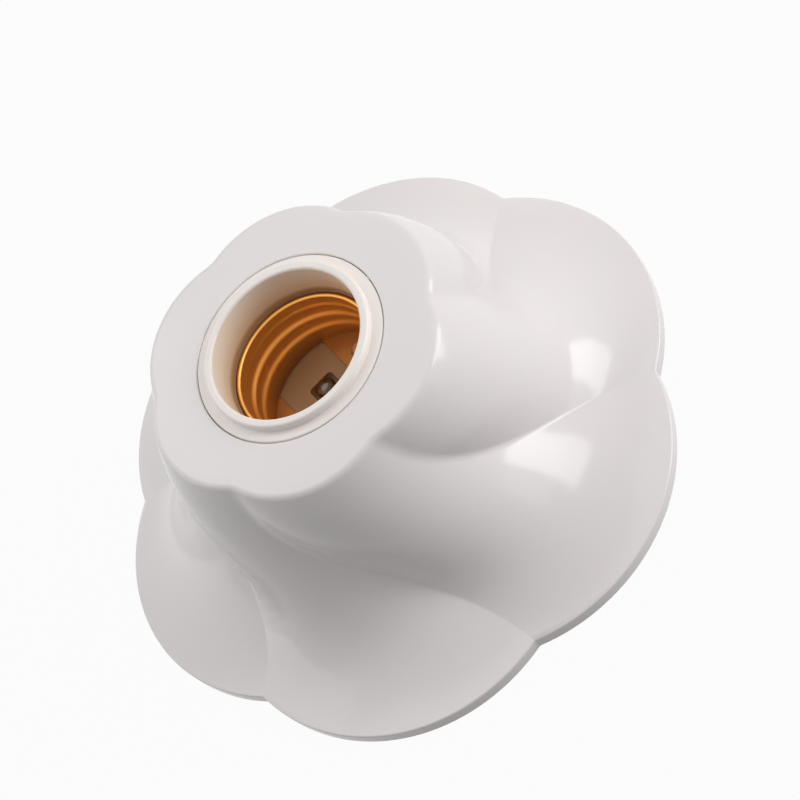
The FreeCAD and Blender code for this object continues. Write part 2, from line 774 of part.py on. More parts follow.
def contact_button():
    """Domed contact riveted into the leaf's tip; its stem is spread under the leaf."""
    body = new_body("contact_button")
    under = "socket_floor + leaf_height"
    seat = f"{under} + leaf_sheet"
    section = sketch_on(body, "button_section", plane="XZ_Plane")
    corners = [("0", f"{under} - button_tail"), ("button_tail_radius", f"{under} - button_tail")]
    corners += [("button_tail_radius", under), ("button_stem", under), ("button_stem", seat)]
    corners += [("button_radius", seat), ("button_radius", f"{seat} + button_edge")]
    corners += [("button_radius / 2", f"{seat} + button_edge + button_shoulder")]
    corners += [("0", f"{seat} + button_edge + button_dome")]
    polygon(section, corners)
    revolve(body, "button", section)
    bind(body, ".Placement.Base.x", "contact_offset")
    bind(body, ".Placement.Base.y", "button_place")
    return body


def rivet(label, x, y, seat_sheet, clinch_sheet):
    """Rivet through the floor from one sheet to another, with a head at each end."""
    body = new_body(label)
    base = "socket_floor - floor_thickness"
    top, foot = f"socket_floor + {seat_sheet}", f"{base} - {clinch_sheet}"
    section = sketch_on(body, f"{label}_section", plane="XZ_Plane")
    soft = "rivet_head_radius - rivet_head / 2"
    corners = [("0", f"{foot} - rivet_head"), (soft, f"{foot} - rivet_head")]
    corners += [("rivet_head_radius", f"{foot} - rivet_head / 2"), ("rivet_head_radius", foot)]
    corners += [("rivet_radius", foot), ("rivet_radius", top), ("rivet_head_radius", top)]
    corners += [("rivet_head_radius", f"{top} + rivet_head / 2"), (soft, f"{top} + rivet_head")]
    corners += [("0", f"{top} + rivet_head")]
    polygon(section, corners)
    revolve(body, f"{label}_turned", section)
    bind(body, ".Placement.Base.x", x)
    bind(body, ".Placement.Base.y", y)
    return body


# ---------------------------------------------------------------- terminals


def terminal(label, corners, rivets, screw_side):
    """Flat brass strip under the core, with rivet holes and a threaded screw hole."""
    body = new_body(label)
    base = "socket_floor - floor_thickness"
    outline = sketch_on(body, f"{label}_outline", height=base)
    polygon(outline, corners)
    pad(body, f"{label}_strip", outline, "terminal_sheet", reverse=True)
    holes = sketch_on(body, f"{label}_holes", height=base)
    for name in rivets:
        circle(holes, *RIVET_PLACES[name], "rivet_radius + hole_play")
    circle(holes, screw_side + TERMINAL_SCREW, "0", "terminal_screw_radius + hole_play")
    pocket(body, f"{label}_drilling", holes, "terminal_sheet")
    return body


def live_terminal():
    """Strip from the contact's rivet, off the axis, to the screw on the bar's far end."""
    half = "terminal_width / 2"
    pad_near, pad_far = f"contact_offset + {half}", f"contact_offset - {half}"
    low = "-contact_rivet_place - terminal_pad / 2"
    high = "-contact_rivet_place + terminal_pad / 2"
    corners = [(pad_near, low), (pad_near, high), (pad_far, high), (f"{pad_far} - {half}", half)]
    corners += [("-terminal_tail", half), ("-terminal_tail", f"-{half}")]
    corners += [(f"{pad_far} - terminal_width", f"-{half}"), (f"{pad_far} - {half}", low)]
    return terminal("live_terminal", corners, ["contact_rivet"], "-")


def neutral_terminal():
    """T-shaped strip whose head takes both rivets of the screw shell."""
    near = "barrier_offset + barrier_width"
    far = "shell_rivet_reach + rivet_head_radius + terminal_sheet"
    wide, half = "neutral_head / 2", "terminal_width / 2"
    corners = [(near, f"-{wide}"), (far, f"-{wide}"), (far, f"-{half}")]
    corners += [("terminal_tail", f"-{half}"), ("terminal_tail", half)]
    corners += [(far, half), (far, wide), (near, wide)]
    return terminal("neutral_terminal", corners, ["shell_rivet_1", "shell_rivet_2"], "")


def slotted_screw(label, radius, head, top, grip, x, y):
    """Pan-head screw pointing up: the head hangs under its seat and has a driver slot."""
    body = new_body(label)
    section = sketch_on(body, f"{label}_section", plane="XZ_Plane")
    bottom = f"{top} - screw_head_height"
    soft = "screw_head_height / 4"
    corners = [("0", bottom), (f"{head} - {soft}", bottom), (head, f"{bottom} + {soft}"), (head, top)]
    corners += [(radius, top), (radius, f"{top} + {grip} - {radius} / 2")]
    corners += [(f"{radius} / 2", f"{top} + {grip}"), ("0", f"{top} + {grip}")]
    polygon(section, corners)
    revolve(body, f"{label}_turned", section)
    slot = sketch_on(body, f"{label}_slot_outline", height=bottom)
    rectangle(slot, f"-{head}", head, "-screw_slot / 2", "screw_slot / 2")
    pocket(body, f"{label}_slot", slot, "screw_slot_depth", reverse=True)
    bind(body, ".Placement.Base.x", x)
    bind(body, ".Placement.Base.y", y)
    return body


def clamp_washer(label, side):
    """Square wire clamp under the screw's head with two edges folded down beside it."""
    body = new_body(label)
    top = "socket_floor - floor_thickness - terminal_sheet"
    half = "washer_length / 2"
    under, lip = f"{top} - washer_sheet", f"{top} - washer_sheet - washer_lip"
    section = sketch_on(body, f"{label}_section", plane="XZ_Plane")
    corners = [(f"-{half}", lip), (f"-{half} + washer_sheet", lip), (f"-{half} + washer_sheet", under)]
    corners += [(f"{half} - washer_sheet", under), (f"{half} - washer_sheet", lip), (half, lip)]
    corners += [(half, top), (f"-{half}", top)]
    polygon(section, corners)
    clamp = pad(body, f"{label}_fold", section, "washer_width")
    clamp.Midplane = True
    hole = sketch_on(body, f"{label}_hole_outline", height=top)
    circle(hole, "0", "0", "terminal_screw_radius + screw_play")
    pocket(body, f"{label}_hole", hole, "washer_sheet")
    bind(body, ".Placement.Base.x", side + TERMINAL_SCREW)
    return body


# ---------------------------------------------------------------- assembly


def build_all():
    """Every sub-part, in the order in which it goes together."""
    parts = [flower_cover(), mounting_plate(), socket_core(), screw_shell()]
    parts += [contact_leaf(), contact_button(), live_terminal(), neutral_terminal()]
    sheets = {"contact_rivet": "leaf_sheet"}
    for name, (x, y) in RIVET_PLACES.items():
        parts.append(rivet(name, x, y, sheets.get(name, "flange_sheet"), "terminal_sheet"))
    seat = "socket_floor - floor_thickness - terminal_sheet - washer_sheet"
    reach = "terminal_screw_grip + terminal_sheet + washer_sheet - hole_play"
    for name, side in (("live", "-"), ("neutral", "")):
        place_x = side + TERMINAL_SCREW
        radius, head = "terminal_screw_radius", "terminal_screw_head"
        screw = slotted_screw(f"{name}_terminal_screw", radius, head, seat, reach, place_x, "0")
        parts += [screw, clamp_washer(f"{name}_clamp_washer", side)]
    for number, side in enumerate(("", "-"), 1):
        radius, head, seat = "core_screw_radius", "core_screw_head", "ear_top - ear_thickness"
        reach = "core_screw_grip + ear_thickness"
        place_y = f"{side}boss_pitch"
        parts.append(slotted_screw(f"core_screw_{number}", radius, head, seat, reach, "0", place_y))
    return parts


def check_model(parts):
    """Stop if any feature failed or any sub-part isn't one sound solid."""
    failed = [item.Name for item in doc.Objects if {"Invalid", "Error"} & set(item.State)]
    if failed:
        raise ValueError(f"failed features: {failed}")
    for part in parts:
        shape = part.Shape
        if shape.isNull() or not shape.isValid() or len(shape.Solids) != 1:
            raise ValueError(f"{part.Label} isn't one sound solid")


def main():
    fill_sheet()
    parts = build_all()
    doc.recompute()
    check_model(parts)
    os.makedirs("parts", exist_ok=True)
    for part in parts:
        part.Shape.exportStep(os.path.join("parts", f"{part.Label}.step"))
        print(f"{part.Label}: {part.Shape.Volume:.1f} mm3")


main()
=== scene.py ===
"""Dressed model of a petal lamp holder: fine forms, finishes, light and camera.

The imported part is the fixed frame. Meshes are drawn in millimetres and turned into metres
when a piece is finished. The back face lies in z = 0 and the lamp leaves along +Z.
"""

import logging
import math
from dataclasses import dataclass
from enum import Enum
from typing import Callable

import bmesh
import bpy
from mathutils import Matrix, Quaternion, Vector


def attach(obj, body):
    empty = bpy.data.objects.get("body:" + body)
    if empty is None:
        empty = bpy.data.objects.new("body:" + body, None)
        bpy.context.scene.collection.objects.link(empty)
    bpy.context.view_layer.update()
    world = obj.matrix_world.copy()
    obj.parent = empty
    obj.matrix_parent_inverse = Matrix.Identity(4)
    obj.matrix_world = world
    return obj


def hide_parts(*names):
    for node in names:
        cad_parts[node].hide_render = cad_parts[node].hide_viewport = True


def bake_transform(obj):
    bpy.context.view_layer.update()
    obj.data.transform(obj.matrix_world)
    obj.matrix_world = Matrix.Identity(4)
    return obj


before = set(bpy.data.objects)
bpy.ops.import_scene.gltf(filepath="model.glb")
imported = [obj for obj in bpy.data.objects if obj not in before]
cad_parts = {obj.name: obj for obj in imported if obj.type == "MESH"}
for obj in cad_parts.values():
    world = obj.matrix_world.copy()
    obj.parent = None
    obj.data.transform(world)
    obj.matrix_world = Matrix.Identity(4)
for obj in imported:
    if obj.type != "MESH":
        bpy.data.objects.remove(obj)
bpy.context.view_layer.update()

MM = 0.001
UP = Vector((0, 0, 1))
CENTRE = (0, 0, 0)
TOUCH = 0.01  # millimetres between points that lie together
CUT_REACH = 0.001  # millimetres from a plane within which a point lies on it
HALVINGS = 50
SHEET_CREASE = 50.0  # degrees past which an edge of thin metal stays sharp
LOG = logging.getLogger("lamp_holder")

Colour = tuple[float, float, float]
Place = tuple[float, float, float]
Span = tuple[float, float]
Controls = tuple[float, float, float, float]
Socket = bpy.types.NodeSocket
Ring = list[Vector]


class Body(Enum):
    """Bodies of the frame that a piece can ride on."""

    PLATE = "plate"
    FRONT = "front"
    CONTACT = "contact_tip"


class Grain(Enum):
    """Ways in which a surface's fine marks run, as scales for a pattern along X, Y and Z."""

    MOULDED = (1.0, 1.0, 1.0)
    ROLLED = (0.03, 0.03, 1.0)
    DRAWN = (1.0, 0.04, 1.0)


class Combine(Enum):
    """Ways to make one value of two."""

    PRODUCT = "MULTIPLY"
    LARGER = "MAXIMUM"


class Rounded(Enum):
    """What a rounding works on."""

    EDGES = "EDGES"
    CORNERS = "VERTICES"


# ------ finishes


class NodeSheet:
    """Small helper that lays out the nodes of one material or sky."""

    def __init__(self, owner: bpy.types.Material | bpy.types.World) -> None:
        """Work in the node tree of a material or sky."""
        owner.use_nodes = True
        self.tree = owner.node_tree

    def add(self, kind: str, **settings: object) -> bpy.types.Node:
        """Add a node and set its properties.

        Args:
            kind: Blender's name of the node type.
            **settings: Properties to set on the node.

        Returns:
            The new node.
        """
        node = self.tree.nodes.new(kind)
        for key, value in settings.items():
            setattr(node, key, value)
        return node

    def link(self, source: Socket, target: Socket) -> None:
        """Connect two sockets."""
        self.tree.links.new(source, target)

    def here(self) -> Socket:
        """Object coordinates of the shaded point."""
        return self.add("ShaderNodeTexCoord").outputs["Object"]

    def place(self, scale: Place) -> Socket:
        """Object coordinates stretched for a grain.

        Args:
            scale: Factors along X, Y and Z.

        Returns:
            The mapped vector.
        """
        mapping = self.add("ShaderNodeMapping")
        mapping.inputs["Scale"].default_value = scale
        self.link(self.here(), mapping.inputs["Vector"])
        return mapping.outputs["Vector"]

    def noise(self, vector: Socket, scale: float, detail: float) -> Socket:
        """Noise pattern at a scale given in features per metre.

        Args:
            vector: Place to read the pattern at.
            scale: Features per metre.
            detail: Octaves of finer noise.

        Returns:
            The pattern from 0 to 1.
        """
        node = self.add("ShaderNodeTexNoise")
        node.inputs["Scale"].default_value = scale
        node.inputs["Detail"].default_value = detail
        self.link(vector, node.inputs["Vector"])
        return node.outputs["Fac"]

    def spread(self, source: Socket, start: Span, end: Span) -> Socket:
        """Map one range of values onto another.

        Args:
            source: Value to map.
            start: Range that it comes in.
            end: Range to bring it to.

        Returns:
            The mapped value.
        """
        node = self.add("ShaderNodeMapRange")
        for socket, number in zip(node.inputs[1:5], (*start, *end)):
            socket.default_value = number
        self.link(source, node.inputs["Value"])
        return node.outputs["Result"]

    def mix(self, factor: Socket, low: Colour | Socket, high: Colour | Socket) -> Socket:
        """Blend from one colour to another.

        Args:
            factor: Share of the second colour.
            low: First colour, or the socket that gives it.
            high: Second colour, or the socket that gives it.

        Returns:
            The blended colour.
        """
        node = self.add("ShaderNodeMix", data_type="RGBA")
        self.link(factor, node.inputs["Factor"])
        for name, colour in (("A", low), ("B", high)):
            if isinstance(colour, tuple):
                node.inputs[name].default_value = (*colour, 1.0)
            else:
                self.link(colour, node.inputs[name])
        return node.outputs["Result"]

    def distance_from_axis(self) -> Socket:
        """Distance of the shaded point from the socket's axis, in metres."""
        flat = self.add("ShaderNodeVectorMath", operation="MULTIPLY")
        flat.inputs[1].default_value = (1.0, 1.0, 0.0)
        self.link(self.here(), flat.inputs[0])
        length = self.add("ShaderNodeVectorMath", operation="LENGTH")
        self.link(flat.outputs["Vector"], length.inputs[0])
        return length.outputs["Value"]

    def height(self) -> Socket:
        """Height of the shaded point above the back face, in metres."""
        parts = self.add("ShaderNodeSeparateXYZ")
        self.link(self.here(), parts.inputs[0])
        return parts.outputs["Z"]

    def ramp(self, value: Socket, stops: list[tuple[float, Colour]]) -> Socket:
        """Colour that runs through stops as a value goes from nothing to one.

        Args:
            value: What the colour follows.
            stops: Places between nothing and one, each with its colour.

        Returns:
            The colour.
        """
        node = self.add("ShaderNodeValToRGB")
        elements = node.color_ramp.elements
        halfway = 0.5
        while len(elements) < len(stops):
            elements.new(halfway)
        for element, (place, colour) in zip(elements, stops):
            element.position = place
            element.color = (*colour, 1.0)
        self.link(value, node.inputs["Fac"])
        return node.outputs["Color"]

    def combine(self, how: Combine, first: Socket, second: Socket | float) -> Socket:
        """Make one value of two.

        Args:
            how: Rule to combine them by.
            first: One value.
            second: The other, or a number.

        Returns:
            The combined value.
        """
        node = self.add("ShaderNodeMath", operation=how.value)
        self.link(first, node.inputs[0])
        if isinstance(second, float):
            node.inputs[1].default_value = second
        else:
            self.link(second, node.inputs[1])
        return node.outputs[0]

    def seen(self) -> Socket:
        """One where a ray comes from the camera, a mirror or glass, else nothing."""
        path = self.add("ShaderNodeLightPath")
        total = path.outputs["Is Camera Ray"]
        for kind in ("Is Glossy Ray", "Is Transmission Ray"):
            total = self.combine(Combine.LARGER, total, path.outputs[kind])
        return total

    def show(self, output: str, share: Socket, lit: bpy.types.Node, seen: bpy.types.Node) -> None:
        """Send a mix of two shaders to the output.

        Args:
            output: Name of the output node.
            share: Share of the second shader.
            lit: Shader for the rays that carry light.
            seen: Shader for the rays that a viewer sees.
        """
        mix = self.add("ShaderNodeMixShader")
        for source, target in zip((share, lit.outputs[0], seen.outputs[0]), mix.inputs):
            self.link(source, target)
        self.link(mix.outputs[0], self.tree.nodes[output].inputs["Surface"])


@dataclass(frozen=True)
class Finish:
    """Common look of a surface: colour with slow drift, gloss that varies and fine relief."""

    name: str
    colour: Colour
    drift: Colour
    roughness: tuple[float, float]
    grain: Grain = Grain.MOULDED
    drift_scale: float = 60.0
    relief_scale: float = 500.0
    relief: float = 0.00001
    metallic: float = 0.0
    drift_octaves: float = 3.0
    drift_range: Span = (0.35, 0.65)
    relief_octaves: float = 2.0
    relief_range: Span = (0.3, 0.7)

    def material(self) -> bpy.types.Material:
        """Build the material.

        Returns:
            The finished material.
        """
        material = bpy.data.materials.new(self.name)
        sheet = NodeSheet(material)
        surface = sheet.tree.nodes["Principled BSDF"]
        surface.inputs["Metallic"].default_value = self.metallic
        place = sheet.place(self.grain.value)
        slow = sheet.noise(place, self.drift_scale, self.drift_octaves)
        share = sheet.spread(slow, self.drift_range, (0.0, 1.0))
        colour = self.shade(sheet, sheet.mix(share, self.colour, self.drift))
        sheet.link(colour, surface.inputs["Base Color"])
        fine = sheet.noise(place, self.relief_scale, self.relief_octaves)
        gloss = sheet.spread(fine, self.relief_range, self.roughness)
        sheet.link(gloss, surface.inputs["Roughness"])
        bump = sheet.add("ShaderNodeBump")
        bump.inputs["Strength"].default_value = 1.0
        bump.inputs["Distance"].default_value = self.relief
        sheet.link(fine, bump.inputs["Height"])
        sheet.link(bump.outputs["Normal"], surface.inputs["Normal"])
        return material

    def shade(self, sheet: NodeSheet, colour: Socket) -> Socket:
        """Further colour that depends on place; none on a plain finish."""
        return colour


@dataclass(frozen=True)
class RolledBrass(Finish):
    """Brass with painted shade: browner in the rolled grooves and darker brown towards the deep
    foot of the shell.
    """

    crest_radius: float = 0.0127
    groove_radius: float = 0.0136
    # painted shade: colour of the thread's hollows, darker than the brass
    groove: Colour = (0.88, 0.43, 0.10)
    groove_shade_share: float = 0.75
    foot: Span = (0.0215, 0.0255)
    # painted shade: darker brown where the shell runs deep towards its foot
    painted_foot_shade: Colour = (0.44, 0.23, 0.09)
    painted_foot_shade_share: float = 0.9

    def shade(self, sheet: NodeSheet, colour: Socket) -> Socket:
        """Paint shade into the grooves and towards the foot.

        Args:
            sheet: Nodes of the material.
            colour: Colour so far.

        Returns:
            The colour with painted shade in the grooves and at the foot.
        """
        across = (self.crest_radius, self.groove_radius)
        depth = sheet.spread(sheet.distance_from_axis(), across, (0.0, self.groove_shade_share))
        # paint shade into the grooves, then towards the foot
        rolled = sheet.mix(depth, colour, self.groove)
        low = sheet.spread(sheet.height(), self.foot, (self.painted_foot_shade_share, 0.0))
        return sheet.mix(low, rolled, self.painted_foot_shade)


@dataclass(frozen=True)
class CorePlastic(Finish):
    """Core plastic with painted shade inside the bore: a painted shadow band above the shell's rim,
    shade that deepens down the wall, and a painted brass-coloured reflection on its floor.
    """

    bore_radius: float = 0.0146
    bore_fade: float = 0.0001
    floor: float = 0.020
    floor_fade: float = 0.0002
    mouth: float = 0.044
    mouth_fade: float = 0.001
    # painted shade and painted reflection by height in the bore: dark painted shadow band just
    # above the shell's rim, shade fading up to the mouth, brass-coloured reflection on the floor
    painted_shade_and_reflection: tuple[tuple[float, Colour], ...] = (
        (0.0205, (0.50, 0.38, 0.25)),
        (0.0350, (0.40, 0.24, 0.13)),
        (0.0358, (0.46, 0.29, 0.16)),
        (0.0368, (0.80, 0.64, 0.47)),
        (0.0395, (0.92, 0.80, 0.65)),
        (0.0430, (0.95, 0.89, 0.81)),
    )

    def shade(self, sheet: NodeSheet, colour: Socket) -> Socket:
        """Paint shade and a brass-coloured reflection inside the bore, from its mouth down to its
        floor.

        Args:
            sheet: Nodes of the material.
            colour: Colour so far.

        Returns:
            The colour with painted shade and reflection in the bore.
        """
        # painted shade and reflection only inside the bore, between its floor and its mouth
        wall = (self.bore_radius, self.bore_radius + self.bore_fade)
        inside = sheet.spread(sheet.distance_from_axis(), wall, (1.0, 0.0))
        height = sheet.height()
        above = sheet.spread(height, (self.floor, self.floor + self.floor_fade), (0.0, 1.0))
        below = sheet.spread(height, (self.mouth - self.mouth_fade, self.mouth), (1.0, 0.0))
        share = sheet.combine(Combine.PRODUCT, inside, above)
        share = sheet.combine(Combine.PRODUCT, share, below)
        level = sheet.spread(height, (self.floor, self.mouth), (0.0, 1.0))
        span = self.mouth - self.floor
        stops = [((at - self.floor) / span, tint) for at, tint in self.painted_shade_and_reflection]
        return sheet.mix(share, colour, sheet.ramp(level, stops))


COVER = Finish("cover_gloss", (0.83, 0.785, 0.775), (0.82, 0.78, 0.775), (0.13, 0.18))
CORE = CorePlastic("core_satin", (0.92, 0.86, 0.82), (0.915, 0.855, 0.81), (0.38, 0.42), relief=0.0)
PLATE = Finish("plate_matte", (0.74, 0.73, 0.71), (0.72, 0.71, 0.69), (0.42, 0.52), relief=0.00003)
SHELL = RolledBrass(
    "rolled_brass",
    (0.94, 0.53, 0.16),
    (0.90, 0.48, 0.12),
    (0.42, 0.54),
    Grain.ROLLED,
    drift_scale=900.0,
    relief_scale=2600.0,
    relief=0.000006,
    metallic=1.0,
)
BRONZE = Finish(
    "contact_bronze",
    (0.11, 0.07, 0.05),
    (0.07, 0.042, 0.03),
    (0.26, 0.44),
    Grain.DRAWN,
    drift_scale=400.0,
    relief_scale=2600.0,
    relief=0.000008,
    metallic=1.0,
)
BUTTON = Finish(
    "button_silver",
    (0.12, 0.095, 0.08),
    (0.05, 0.038, 0.03),
    (0.10, 0.26),
    drift_scale=900.0,
    relief_scale=1400.0,
    relief=0.00005,
    metallic=1.0,
)
TERMINAL = Finish(
    "terminal_brass",
    (0.80, 0.60, 0.28),
    (0.70, 0.50, 0.22),
    (0.24, 0.36),
    Grain.DRAWN,
    relief_scale=2200.0,
    metallic=1.0,
)
RIVET = Finish("rivet_plated", (0.66, 0.62, 0.56), (0.56, 0.50, 0.44), (0.24, 0.38), metallic=1.0)
STEEL = Finish("zinc_steel", (0.62, 0.63, 0.65), (0.52, 0.54, 0.58), (0.22, 0.40), metallic=1.0)


# ------ mesh helpers


def points_of(geometry: list[object]) -> list[bmesh.types.BMVert]:
    """Only the points among what an operator gives."""
    return [item for item in geometry if isinstance(item, bmesh.types.BMVert)]


def draw_rings(rings: list[Ring]) -> bmesh.types.BMesh:
    """Lay out the first ring and extrude it to each of the others in turn.

    Args:
        rings: Rings with the same number of points, in millimetres.

    Returns:
        The skin through all the rings.
    """
    bm = bmesh.new()
    row = bmesh.ops.create_circle(bm, segments=len(rings[0]), radius=1.0)["verts"]
    edges = list(bm.edges)
    for vert, place in zip(row, rings[0]):
        vert.co = place
    for ring in rings[1:]:
        grown = bmesh.ops.extrude_edge_only(bm, edges=edges)["geom"]
        new = set(points_of(grown))
        row = [next(e.other_vert(v) for e in v.link_edges if e.other_vert(v) in new) for v in row]
        edges = [
            item
            for item in grown
            if isinstance(item, bmesh.types.BMEdge) and set(item.verts) <= new
        ]
        for vert, place in zip(row, ring):
            vert.co = place
    return bm


def draw_chain(points: list[tuple[float, float]], closed: bool = False) -> bmesh.types.BMesh:
    """Draw a profile in the XZ plane.

    Args:
        points: Radius and height of each corner, in millimetres.
        closed: Whether the last corner joins the first.

    Returns:
        The profile as vertices and edges.
    """
    bm = bmesh.new()
    verts = [bm.verts.new((x, 0, z)) for x, z in points]
    for first, second in zip(verts, verts[1:]):
        bm.edges.new((first, second))
    if closed:
        bm.edges.new((verts[-1], verts[0]))
    return bm


def spin(
    bm: bmesh.types.BMesh,
    steps: int,
    angle: float = math.tau,
    climb: float = 0.0,
    merge: bool = False,
) -> None:
    """Turn everything in the mesh about the Z axis.

    Args:
        bm: Mesh that holds the profile.
        steps: Number of segments over the turn.
        angle: Turn in radians.
        climb: Rise with each segment, in millimetres.
        merge: Whether the last segment closes onto the first.
    """
    bmesh.ops.spin(
        bm,
        geom=bm.verts[:] + bm.edges[:] + bm.faces[:],
        cent=CENTRE,
        axis=UP,
        dvec=(0, 0, climb),
        angle=angle,
        steps=steps,
        use_merge=merge,
        use_duplicate=False,
    )


def trim(bm: bmesh.types.BMesh, place: Place, normal: Place, outer: bool) -> None:
    """Cut the mesh with a plane and drop what lies on one side.

    Args:
        bm: Mesh to cut.
        place: Point of the plane.
        normal: Direction that the plane faces.
        outer: Whether the side that it faces is dropped, or else the other.
    """
    bmesh.ops.bisect_plane(
        bm,
        geom=bm.verts[:] + bm.edges[:] + bm.faces[:],
        dist=CUT_REACH,
        plane_co=place,
        plane_no=normal,
        clear_outer=outer,
        clear_inner=not outer,
    )


def weld(bm: bmesh.types.BMesh, reach: float = 0.002) -> None:
    """Join points that lie within a reach, in millimetres, and turn all faces outwards."""
    bmesh.ops.remove_doubles(bm, verts=bm.verts[:], dist=reach)
    bmesh.ops.recalc_face_normals(bm, faces=bm.faces[:])


def soften(
    bm: bmesh.types.BMesh,
    items: list[bmesh.types.BMEdge] | list[bmesh.types.BMVert],
    radius: float,
    segments: int,
    kind: Rounded = Rounded.EDGES,
) -> None:
    """Round some edges or corners.

    Args:
        bm: Mesh that holds them.
        items: Edges or corners to round.
        radius: Offset of the bevel, in millimetres.
        segments: Faces across the rounding.
        kind: Whether they are edges or corners.
    """
    bmesh.ops.bevel(
        bm,
        geom=items,
        offset=radius,
        offset_type="OFFSET",
        affect=kind.value,
        segments=segments,
        profile=0.5,
        material=-1,
        clamp_overlap=True,
    )


def enter(name: str, data: bpy.types.ID) -> bpy.types.Object:
    """Put an object in the scene.

    Args:
        name: Name of the object.
        data: Its mesh, lamp or camera.

    Returns:
        The new object.
    """
    item = bpy.data.objects.new(name, data)
    bpy.context.scene.collection.objects.link(item)
    return item


def finish_piece(
    bm: bmesh.types.BMesh,
    name: str,
    finish: bpy.types.Material,
    crease: float = 32.0,
) -> bpy.types.Object:
    """Turn a mesh drawn in millimetres into a shaded object at the origin.

    Args:
        bm: Finished mesh; it is freed.
        name: Name of the piece.
        finish: Its material.
        crease: Angle in degrees past which an edge stays sharp.

    Returns:
        The new object, linked to the scene.
    """
    bmesh.ops.scale(bm, vec=(MM, MM, MM), verts=bm.verts[:])
    mesh = bpy.data.meshes.new(name)
    bm.to_mesh(mesh)
    bm.free()
    for polygon in mesh.polygons:
        polygon.use_smooth = True
    mesh.set_sharp_from_angle(angle=math.radians(crease))
    mesh.materials.append(finish)
    piece = enter(name, mesh)
    LOG.info("%s: %d faces", name, len(mesh.polygons))
    return piece


def bezier(controls: Controls, station: float) -> float:
    """Value of a cubic Bezier curve.

    Args:
        controls: Its four control values.
        station: Place along it, from 0 to 1.

    Returns:
        The value there.
    """
    rest = 1 - station
    weights = (rest**3, 3 * station * rest**2, 3 * station**2 * rest, station**3)
    return sum(weight * control for weight, control in zip(weights, controls))


def bezier_slope(controls: Controls, station: float) -> float:
    """Rate of change of a cubic Bezier curve.

    Args:
        controls: Its four control values.
        station: Place along it, from 0 to 1.

    Returns:
        The rate there.
    """
    rest = 1 - station
    first, second, third, last = controls
    steps = (second - first, third - second, last - third)
    weights = (3 * rest**2, 6 * rest * station, 3 * station**2)
    return sum(weight * step for weight, step in zip(weights, steps))


def station_where(measure: Callable[[float], float], target: float) -> float:
    """Find by halving where a steadily changing measure meets its target.

    Args:
        measure: Function of a station from 0 to 1.
        target: Value looked for.

    Returns:
        The station.
    """
    low, high = 0.0, 1.0
    rising = measure(high) > measure(low)
    for _ in range(HALVINGS):
        middle = (low + high) / 2
        if (measure(middle) < target) == rising:
            low = middle
        else:
            high = middle
    return (low + high) / 2


# ------ petal cover


@dataclass(frozen=True)
class Outline:
    """Level outline of the cover: round petals joined by tangent hollows."""

    ridge: float
    valley: float
    blend: float
    height: float
    turn: float
    petals: int = 6
    petal_steps: int = 36
    hollow_steps: int = 7

    @property
    def half(self) -> float:
        """Half of the angle that a petal takes, in radians."""
        return math.pi / self.petals

    @property
    def centre(self) -> float:
        """Distance of a petal's centre from the axis."""
        outer, hollow = self.ridge + self.blend, self.valley + self.blend
        return (outer**2 - hollow**2) / (2 * (outer - hollow * math.cos(self.half)))

    def at(self, height: float, inset: float = 0.0) -> "Outline":
        """The same outline at another height, drawn in by an inset."""
        return Outline(
            self.ridge - inset, self.valley - inset, self.blend + inset, height, self.turn
        )

    def ring(self) -> Ring:
        """Points round the outline, anticlockwise from a hollow.

        Returns:
            One closed ring.
        """
        half, centre, hollow = self.half, self.centre, self.valley + self.blend
        petal = (centre, self.ridge - centre, self.petal_steps)
        groove = (hollow, self.blend, self.hollow_steps)
        lean = math.atan2(centre * math.sin(half), centre * math.cos(half) - hollow)
        reach = math.pi + half - lean
        points: Ring = []
        for number in range(self.petals):
            start = self.turn + 2 * half * number
            middle, end = start + half, start + 2 * half
            points += self.arc(*groove, start, start + math.pi, start + lean)
            points += self.arc(*petal, middle, middle - reach, middle + reach)
            points += self.arc(*groove, end, end - lean, end - math.pi)
        return points

    def arc(
        self, away: float, radius: float, steps: int, way: float, start: float, end: float
    ) -> Ring:
        """Points on one arc, without its last one.

        Args:
            away: Distance of the arc's centre from the axis.
            radius: Radius of the arc.
            steps: Number of points.
            way: Direction of its centre from the axis, in radians.
            start: Angle of its first point.
            end: Angle of its last point.

        Returns:
            The points.
        """
        middle = Vector((away * math.cos(way), away * math.sin(way), self.height))
        angles = [start + (end - start) * step / steps for step in range(steps)]
        return [middle + radius * Vector((math.cos(a), math.sin(a), 0)) for a in angles]

    def reach(self, way: float) -> float:
        """Distance of the petal's arc from the axis in one direction.

        Args:
            way: Direction in radians.

        Returns:
            The distance.
        """
        centre = self.centre
        lean = (way - self.turn) % (2 * self.half) - self.half
        side = centre * math.sin(lean)
        return centre * math.cos(lean) + math.sqrt((self.ridge - centre) ** 2 - side**2)


